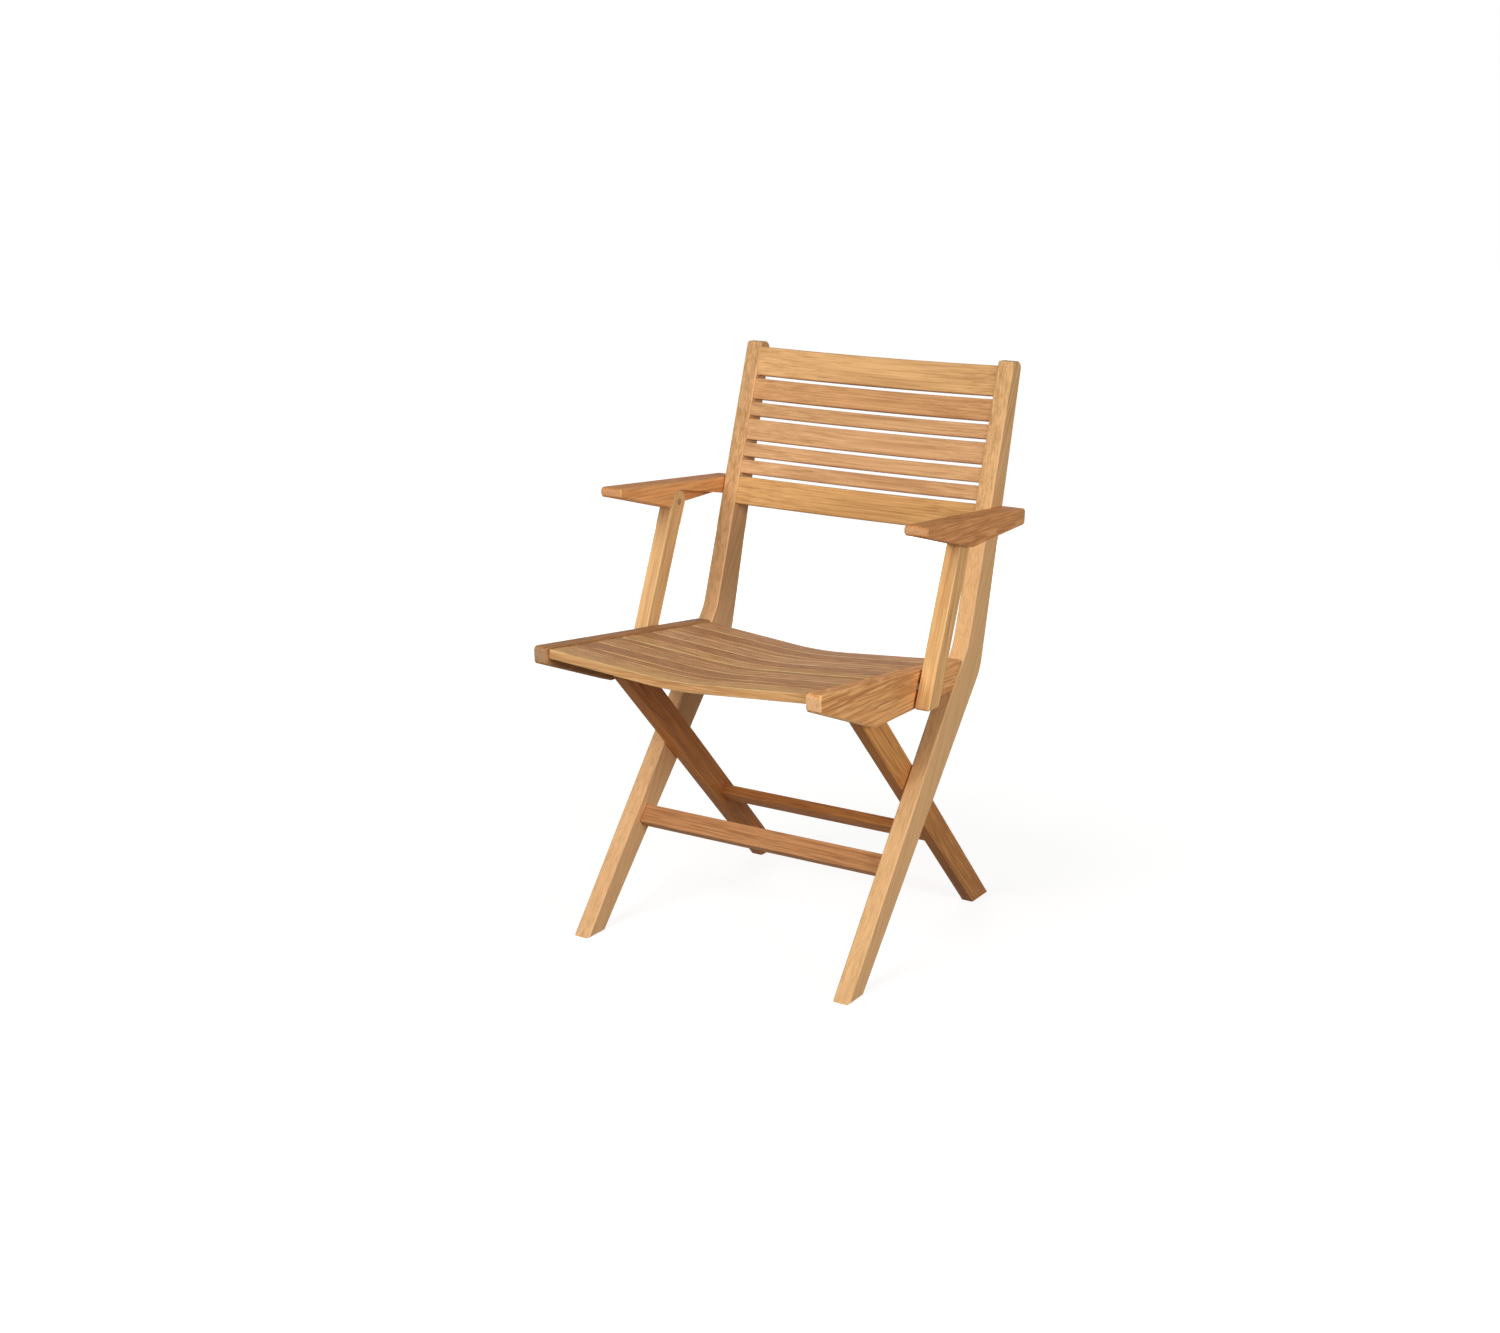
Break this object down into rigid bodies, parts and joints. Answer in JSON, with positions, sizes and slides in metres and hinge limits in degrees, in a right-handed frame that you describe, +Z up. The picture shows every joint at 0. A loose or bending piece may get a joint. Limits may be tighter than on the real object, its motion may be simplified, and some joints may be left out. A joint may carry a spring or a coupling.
{
  "type": "folding teak armchair",
  "caption": "Folding teak armchair with a dished slatted seat, a bowed slatted back, tapering arms on slanted supports, and rear legs that cross the posts.",
  "frame": {"origin": "on the floor, under the middle of the open chair", "axes": "+X across the chair, to the right as seen from its front; +Y towards its back; +Z up"},
  "size_m": [0.543, 0.6579, 0.87],
  "materials": {
    "teak_frame": "sanded teak, oiled",
    "teak_legs": "sanded teak, oiled, darker",
    "teak_rails": "sanded teak, oiled",
    "teak_seat": "sanded teak, oiled",
    "teak_back": "sanded teak, oiled",
    "teak_arms": "sanded teak, oiled",
    "teak_plugs": "sanded teak plug",
    "steel": "satin",
    "brass": "satin"
  },
  "bodies": {
    "frame": {"left_post": "teak_frame", "right_post": "teak_frame", "front_stretcher": "teak_frame", "back_slat_1": "teak_back", "back_slat_2": "teak_back", "back_slat_3": "teak_back", "back_slat_4": "teak_back", "back_slat_5": "teak_back", "back_slat_6": "teak_back", "back_slat_7": "teak_back", "crossing_pins": "steel", "crossing_washers": "steel", "arm_pivot_pins": "steel", "arm_washers": "steel", "hinge_post_leaves": "brass", "hinge_pins": "brass", "hinge_post_screws": "brass"},
    "seat": {"left_seat_rail": "teak_rails", "right_seat_rail": "teak_rails", "seat_slat_1": "teak_seat", "seat_slat_2": "teak_seat", "seat_slat_3": "teak_seat", "seat_slat_4": "teak_seat", "seat_slat_5": "teak_seat", "seat_slat_6": "teak_seat", "seat_slat_7": "teak_seat", "seat_slat_8": "teak_seat", "seat_slat_9": "teak_seat", "seat_slat_10": "teak_seat", "seat_slat_11": "teak_seat", "hinge_seat_leaves": "brass", "hinge_seat_screws": "brass", "support_pins": "steel", "support_spacers": "steel"},
    "rear_legs": {"left_rear_leg": "teak_legs", "right_rear_leg": "teak_legs", "rear_stretcher": "teak_legs", "leg_hook_pins": "steel"},
    "left_arm": {"left_arm": "teak_arms", "left_support_bolt": "steel"},
    "right_arm": {"right_arm": "teak_arms", "right_support_bolt": "steel"},
    "left_support": {"left_arm_support": "teak_rails", "left_support_plug": "teak_plugs"},
    "right_support": {"right_arm_support": "teak_rails", "right_support_plug": "teak_plugs"}
  },
  "joints": [
    {"name": "seat_fold", "type": "hinge", "parent": "frame", "child": "seat", "pos_m": [0, 0.11565, 0.43059], "axis": [-1, 0, 0], "range_deg": [0, 101]},
    {"name": "legs_fold", "type": "hinge", "parent": "frame", "child": "rear_legs", "pos_m": [0, 0.02062, 0.25697], "axis": [-1, 0, 0], "range_deg": [0, 61.5]},
    {"name": "left_arm_fold", "type": "hinge", "parent": "frame", "child": "left_arm", "pos_m": [-0.252, 0.19916, 0.63999], "axis": [-1, 0, 0], "range_deg": [0, 101]},
    {"name": "right_arm_fold", "type": "hinge", "parent": "frame", "child": "right_arm", "pos_m": [0.252, 0.19916, 0.63999], "axis": [-1, 0, 0], "range_deg": [0, 101]},
    {"name": "left_support_fold", "type": "hinge", "parent": "left_arm", "child": "left_support", "pos_m": [-0.245, 0.0557, 0.629], "axis": [1, 0, 0], "range_deg": [0, 101]},
    {"name": "right_support_fold", "type": "hinge", "parent": "right_arm", "child": "right_support", "pos_m": [0.245, 0.0557, 0.629], "axis": [1, 0, 0], "range_deg": [0, 101]}
  ],
  "couplings": [
    {"joint": "legs_fold", "follows": "seat_fold", "ratio": 0.60891},
    {"joint": "left_arm_fold", "follows": "seat_fold", "ratio": 1},
    {"joint": "right_arm_fold", "follows": "seat_fold", "ratio": 1},
    {"joint": "left_support_fold", "follows": "seat_fold", "ratio": 1},
    {"joint": "right_support_fold", "follows": "seat_fold", "ratio": 1}
  ]
}
